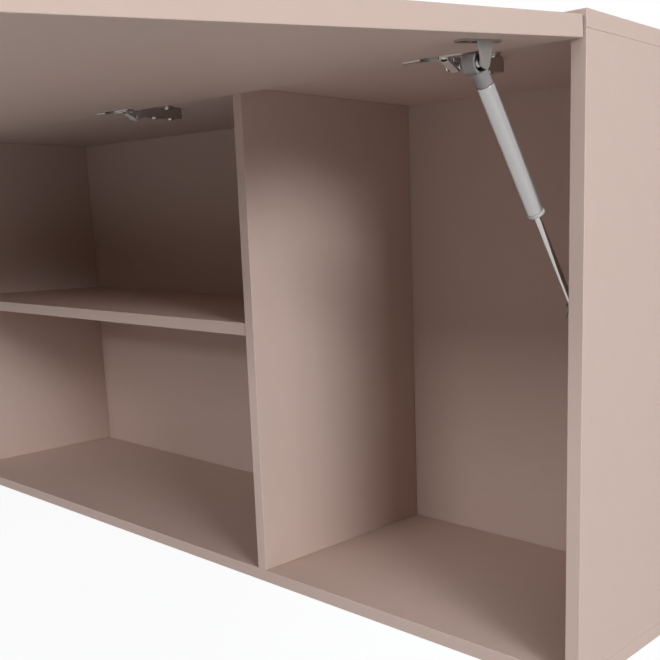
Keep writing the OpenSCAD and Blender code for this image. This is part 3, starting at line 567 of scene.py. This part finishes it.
@dataclass(frozen=True)
class ScrewDresser:
    """Dresses a CAD node of screws: every head gets a rounded rim and a cross recess.

    Attributes:
        arm_reach: Reach of the recess's arms, as a share of the head's radius.
        arm_half: Half width of the arms, as a share of the head's radius.
        depth: Depth of the recess, as a share of the head's radius.
        taper: Size of the recess's floor against its mouth.
        turn_step: Turn from one screw to the next, in radians, so that no two look set by a jig.
        level_share: A face whose normal lies at least this along the screw's axis is level with the top.
    """

    arm_reach: float = 0.62
    arm_half: float = 0.14
    depth: float = 0.42
    taper: float = 0.55
    turn_step: float = 0.9
    level_share: float = 0.999

    def piece(self, node: str, rim: float) -> bpy.types.Object:
        """A dressed copy of one node of screws, in its place.

        Args:
            node: The CAD node.
            rim: Radius of the heads' rims, in metres.

        Returns:
            The new piece.
        """
        bm = merged_copy(node)
        for face in bm.faces:
            face.smooth = True
        tops = [max(island, key=lambda f: f.calc_area()) for island in islands(bm)]
        for index, top in enumerate(tops):
            self._dress_head(bm, top, rim, index * self.turn_step)
        obj = new_object(node + "_piece")
        finish_piece(obj, bm, SLOT_FINISH[slot_of_node(node)])
        place_piece(obj, node)
        log.info("%s: %d heads", obj.name, len(tops))
        return obj

    def _dress_head(self, bm: bmesh.types.BMesh, top: bmesh.types.BMFace, rim: float, turn: float) -> None:
        """Rounds a head's rim and sinks a cross recess into its top.

        Args:
            bm: The mesh of all the node's screws.
            top: The flat top of one head.
            rim: Radius of the rim, in metres.
            turn: Turn of the recess about the screw's axis, in radians.
        """
        axis = top.normal.copy()
        centre = top.calc_center_median()
        bmesh.ops.bevel(bm, geom=list(top.edges), offset=rim, segments=4, affect="EDGES", profile=0.5,
                        material=-1, clamp_overlap=True)
        bm.faces.ensure_lookup_table()
        level = [f for f in bm.faces if f.normal.dot(axis) > self.level_share]
        beside = [f for f in level if (f.calc_center_median() - centre).length < rim]
        top = max(beside, key=lambda f: f.calc_area())
        radius = (top.verts[0].co - centre).length
        edge_of_top = list(top.edges)
        bmesh.ops.delete(bm, geom=[top], context="FACES_ONLY")
        mouth = self._cross(bm, centre, axis, radius, turn)
        lid = bmesh.ops.triangle_fill(bm, edges=edge_of_top + mouth, use_beauty=True, use_dissolve=False,
                                      normal=axis)
        wall = bmesh.ops.extrude_edge_only(bm, edges=mouth)
        floor_verts = [g for g in wall["geom"] if isinstance(g, bmesh.types.BMVert)]
        floor_edges = [g for g in wall["geom"] if isinstance(g, bmesh.types.BMEdge)]
        for vert in floor_verts:
            vert.co = centre + (vert.co - centre) * self.taper - axis * self.depth * radius
        ring = [e for e in floor_edges if all(v in floor_verts for v in e.verts)]
        floor = bmesh.ops.triangle_fill(bm, edges=ring, use_beauty=True, use_dissolve=False, normal=axis)
        for made in (lid, wall, floor):
            for face in (g for g in made["geom"] if isinstance(g, bmesh.types.BMFace)):
                face.smooth = False

    def _cross(self, bm: bmesh.types.BMesh, centre: Vector, axis: Vector, radius: float,
               turn: float) -> list[bmesh.types.BMEdge]:
        """The outline of the recess on the head's top.

        Args:
            bm: The mesh to draw in.
            centre: Centre of the head's top.
            axis: The screw's axis, out of the head.
            radius: Radius of the flat of the head's top.
            turn: Turn of the cross about the axis, in radians.

        Returns:
            The twelve edges of the outline.
        """
        across = axis.orthogonal().normalized()
        across.rotate(Quaternion(axis, turn))
        beside = axis.cross(across)
        reach, half = self.arm_reach * radius, self.arm_half * radius
        verts = []
        for quarter in range(4):
            spoke = across.copy()
            spoke.rotate(Quaternion(axis, quarter * math.pi / 2))
            side = beside.copy()
            side.rotate(Quaternion(axis, quarter * math.pi / 2))
            verts.append(bm.verts.new(centre + spoke * reach - side * half))
            verts.append(bm.verts.new(centre + spoke * reach + side * half))
            verts.append(bm.verts.new(centre + spoke * half + side * half))
        return [bm.edges.new((a, b)) for a, b in zip(verts, verts[1:] + verts[:1])]


# ---------------------------------------------------------------- sub-assemblies


@dataclass
class Carcass:
    """The box: its boards, the dowels and screws that join them, and the pins under the shelf.

    Attributes:
        boards: The board nodes.
        dowel_break: Width of the dowels' broken edges, in metres.
        pin_break: Width of the shelf pins' broken edges, in metres.
        screw_rim: Radius of the panel screws' rims, in metres.
    """

    boards: tuple[str, ...] = ("top_panel", "bottom_panel", "left_side_panel", "right_side_panel", "divider",
                               "shelf", "back_panel")
    dowel_break: float = 0.8 * MM
    pin_break: float = 0.4 * MM
    screw_rim: float = 0.15 * MM

    def build(self) -> list[bpy.types.Object]:
        """Builds the boards and what joins them.

        Returns:
            The new pieces.
        """
        pieces = [BoardDresser().piece(node) for node in self.boards]
        pieces.append(EdgeBreaker().piece("panel_dowels", self.dowel_break))
        pieces.append(EdgeBreaker().piece("shelf_pins", self.pin_break))
        pieces.append(ScrewDresser().piece("panel_screws", self.screw_rim))
        return pieces


@dataclass
class WallHanging:
    """The rail behind the back, and the two corner hangers that hook over it.

    Attributes:
        steel: The nodes of the rail and the hangers.
        edge_break: Width of their broken edges, in metres.
        screw_rim: Radius of the hangers' screws' rims, in metres.
    """

    steel: tuple[str, ...] = ("wall_rail", "left_hanger", "right_hanger")
    edge_break: float = 0.3 * MM
    screw_rim: float = 0.9 * MM

    def build(self) -> list[bpy.types.Object]:
        """Builds the rail, the hangers and their screws.

        Returns:
            The new pieces.
        """
        pieces = [EdgeBreaker().piece(node, self.edge_break) for node in self.steel]
        pieces.append(ScrewDresser().piece("hanger_screws", self.screw_rim))
        return pieces


@dataclass
class Flap:
    """The flap: one board across both bays.

    Attributes:
        board: The board's node.
    """

    board: str = "flap_panel"

    def build(self) -> list[bpy.types.Object]:
        """Builds the flap's board, and returns it as the only piece."""
        return [BoardDresser().piece(self.board)]


@dataclass
class CupHinges:
    """The three cup hinges with their pins and screws.

    Attributes:
        places: The hinges, each named for its place.
        members: The pieces that every hinge has.
        pins: The nodes of the pins, each of which serves all the hinges.
        edge_break: Width of the broken edges of the pieces and the pins, in metres.
        screw_rims: Radius of the heads' rims for each node of screws, in metres.
    """

    places: tuple[str, ...] = ("right", "middle", "left")
    members: tuple[str, ...] = ("cup", "front_link", "rear_link", "arm", "plate")
    pins: tuple[str, ...] = ("hinge_arm_pins", "hinge_cup_pins")
    edge_break: float = 0.22 * MM
    screw_rims: dict[str, float] = field(default_factory=lambda: {
        "hinge_cup_screws": 0.12 * MM,
        "hinge_plate_screws": 0.9 * MM,
        "hinge_arm_screws": 0.5 * MM,
    })

    def build(self) -> list[bpy.types.Object]:
        """Builds the hinges, their pins and their screws.

        Returns:
            The new pieces.
        """
        members = [f"{place}_hinge_{member}" for member in self.members for place in self.places]
        pieces = [EdgeBreaker().piece(node, self.edge_break) for node in (*members, *self.pins)]
        return pieces + [ScrewDresser().piece(node, rim) for node, rim in self.screw_rims.items()]


@dataclass
class GasStruts:
    """The two gas struts with their ball studs, brackets and screws.

    Attributes:
        places: The struts, each named for its place.
        edge_break: Width of the broken edges for each piece that every strut has, in metres.
        screw_rims: Radius of the heads' rims for each node of screws, in metres.
    """

    places: tuple[str, ...] = ("right", "left")
    edge_break: dict[str, float] = field(default_factory=lambda: {
        "strut_tube": 1.2 * MM,
        "strut_guide": 0.6 * MM,
        "strut_rod": 0.4 * MM,
        "strut_piston": 0.4 * MM,
        "strut_upper_socket": 0.7 * MM,
        "strut_lower_socket": 0.7 * MM,
        "upper_ball_stud": 0.25 * MM,
        "lower_ball_stud": 0.25 * MM,
        "flap_bracket": 0.35 * MM,
        "side_bracket": 0.35 * MM,
    })
    screw_rims: dict[str, float] = field(default_factory=lambda: {
        "flap_bracket_screws": 0.12 * MM,
        "side_bracket_screws": 0.9 * MM,
    })

    def build(self) -> list[bpy.types.Object]:
        """Builds the struts, their ends and their screws.

        Returns:
            The new pieces.
        """
        pieces = []
        for place in self.places:
            for member, width in self.edge_break.items():
                pieces.append(EdgeBreaker().piece(f"{place}_{member}", width))
        return pieces + [ScrewDresser().piece(node, rim) for node, rim in self.screw_rims.items()]


# ---------------------------------------------------------------- studio


@dataclass(frozen=True)
class Lamp:
    """A rectangular soft lamp.

    Attributes:
        name: The lamp's name.
        place: Where it stands, in metres.
        aim: The point that it faces.
        size: Its width and height in metres.
        power: Its power in watts.
        tint: Its colour, close to plain daylight.
    """

    name: str
    place: RGB
    aim: RGB
    size: tuple[float, float]
    power: float
    tint: RGB = (0.94, 1.0, 1.06)

    def build(self) -> None:
        """Places the lamp in the scene."""
        data = bpy.data.lights.new(self.name, "AREA")
        data.shape = "RECTANGLE"
        data.size, data.size_y = self.size
        data.energy = self.power
        data.color = self.tint
        lamp = bpy.data.objects.new(self.name, data)
        lamp.visible_camera = False
        bpy.context.scene.collection.objects.link(lamp)
        lamp.location = self.place
        lamp.rotation_mode = "QUATERNION"
        lamp.rotation_quaternion = (Vector(self.aim) - Vector(self.place)).to_track_quat("-Z", "Y")


AIM: RGB = (0.25, -0.3, -0.25)

LAMPS: tuple[Lamp, ...] = (
    Lamp("side_light", (3.9, -1.7, 0.85), AIM, (0.7, 0.7), 50.0),
    Lamp("side_middle_light", (4.05, -1.4, 0.75), AIM, (0.7, 0.7), 22.0),
    Lamp("side_rear_light", (4.15, -1.05, 0.75), AIM, (0.7, 0.7), 40.0),
    Lamp("side_steep_light", (2.9, -1.5, 3.1), AIM, (1.2, 1.2), 34.0),
    Lamp("corner_high_light", (2.3, -2.6, 2.9), AIM, (1.1, 1.1), 14.0),
    Lamp("front_light", (0.2, -4.0, 1.1), AIM, (2.4, 0.7), 52.0),
)


@dataclass
class Studio:
    """The plain floor, the soft lights and the camera.

    Attributes:
        floor_z: Height of the floor, in metres.
        floor_half: Half the floor's side, in metres.
        world_light: Strength of the even light from all round.
        floor_glow: Strength of the floor's white as the camera sees it.
        glow_share: Share of that white in the floor. The rest is the lit floor with the object's shadow.
        floor_colour: Base colour of the floor.
        floor_roughness: Roughness of the floor.
        lens: Focal length in millimetres on a 36 mm sensor.
        shift: Shift of the frame, as a share of its width, because the photo is cut from a wider view.
        eye: Where the camera stands, in metres.
        turn_deg: The camera's Euler angles, in degrees.
    """

    floor_z: float = -1.35
    floor_half: float = 30.0
    world_light: float = 0.0
    floor_glow: float = 1.28
    glow_share: float = 0.72
    floor_colour: RGB = (0.82, 0.82, 0.82)
    floor_roughness: float = 0.9
    lens: float = 50.76
    shift: tuple[float, float] = (-0.1432, 0.1012)
    eye: RGB = (1.06275, -0.98834, -0.12126)
    turn_deg: RGB = (79.2928, 1.0994, 40.8308)

    def build(self) -> None:
        """Builds the floor, the world, the lamps and the camera."""
        self._floor()
        self._world()
        for lamp in LAMPS:
            lamp.build()
        self._camera()

    def _floor(self) -> None:
        """A wide plain floor that shows white to the camera and keeps the object's shadow."""
        bm = bmesh.new()
        bmesh.ops.create_grid(bm, x_segments=1, y_segments=1, size=self.floor_half)
        bmesh.ops.translate(bm, verts=bm.verts, vec=(0, 0, self.floor_z))
        obj = new_object("studio_floor")
        bm.to_mesh(obj.data)
        bm.free()
        material = bpy.data.materials.new("studio_floor")
        material.use_nodes = True
        nodes, links = material.node_tree.nodes, material.node_tree.links
        shader = nodes["Principled BSDF"]
        shader.inputs["Base Color"].default_value = (*self.floor_colour, 1.0)
        shader.inputs["Roughness"].default_value = self.floor_roughness
        glow = nodes.new("ShaderNodeEmission")
        glow.inputs["Strength"].default_value = self.floor_glow
        share = nodes.new("ShaderNodeMath")
        share.operation = "MULTIPLY"
        share.inputs[1].default_value = self.glow_share
        blend = nodes.new("ShaderNodeMixShader")
        links.new(self._seen_directly(nodes, links), share.inputs[0])
        links.new(share.outputs[0], blend.inputs[0])
        links.new(shader.outputs[0], blend.inputs[1])
        links.new(glow.outputs[0], blend.inputs[2])
        links.new(blend.outputs[0], nodes["Material Output"].inputs["Surface"])
        obj.data.materials.append(material)

    @staticmethod
    def _seen_directly(nodes: bpy.types.Nodes, links: bpy.types.NodeLinks) -> bpy.types.NodeSocket:
        """A value that is 1 for rays from the camera, from gloss and through glass.

        Args:
            nodes: The nodes of the tree to build in.
            links: The links of the tree to build in.

        Returns:
            The output socket.
        """
        path = nodes.new("ShaderNodeLightPath")
        first = nodes.new("ShaderNodeMath")
        first.operation = "MAXIMUM"
        second = nodes.new("ShaderNodeMath")
        second.operation = "MAXIMUM"
        links.new(path.outputs["Is Camera Ray"], first.inputs[0])
        links.new(path.outputs["Is Glossy Ray"], first.inputs[1])
        links.new(first.outputs[0], second.inputs[0])
        links.new(path.outputs["Is Transmission Ray"], second.inputs[1])
        return second.outputs[0]

    def _world(self) -> None:
        """An even world light, which shows white to the camera."""
        world = bpy.data.worlds.new("studio")
        bpy.context.scene.world = world
        world.use_nodes = True
        nodes, links = world.node_tree.nodes, world.node_tree.links
        light = nodes["Background"]
        light.inputs["Color"].default_value = (1.0, 1.0, 1.0, 1.0)
        light.inputs["Strength"].default_value = self.world_light
        shown = nodes.new("ShaderNodeBackground")
        shown.inputs["Color"].default_value = (1.0, 1.0, 1.0, 1.0)
        shown.inputs["Strength"].default_value = 1.0
        blend = nodes.new("ShaderNodeMixShader")
        links.new(self._seen_directly(nodes, links), blend.inputs[0])
        links.new(light.outputs[0], blend.inputs[1])
        links.new(shown.outputs[0], blend.inputs[2])
        links.new(blend.outputs[0], nodes["World Output"].inputs["Surface"])

    def _camera(self) -> None:
        """The camera at the viewing angle of the photograph."""
        data = bpy.data.cameras.new("camera")
        data.lens = self.lens
        data.sensor_width = 36.0
        data.shift_x, data.shift_y = self.shift
        data.clip_start = 0.01
        data.clip_end = 100.0
        camera = bpy.data.objects.new("camera", data)
        bpy.context.scene.collection.objects.link(camera)
        camera.location = self.eye
        camera.rotation_euler = tuple(math.radians(angle) for angle in self.turn_deg)
        bpy.context.scene.camera = camera


def main() -> None:
    """Builds the sub-assemblies in order, reports each piece, and adds the studio and the view settings."""
    logging.basicConfig(level=logging.INFO, format="%(name)s: %(message)s")
    for assembly in (Carcass(), WallHanging(), Flap(), CupHinges(), GasStruts()):
        for piece in assembly.build():
            log.info("%s: %d faces", piece.name, len(piece.data.polygons))
    Studio().build()
    bpy.context.scene.view_settings.view_transform = "Standard"


if __name__ == "__main__":
    main()
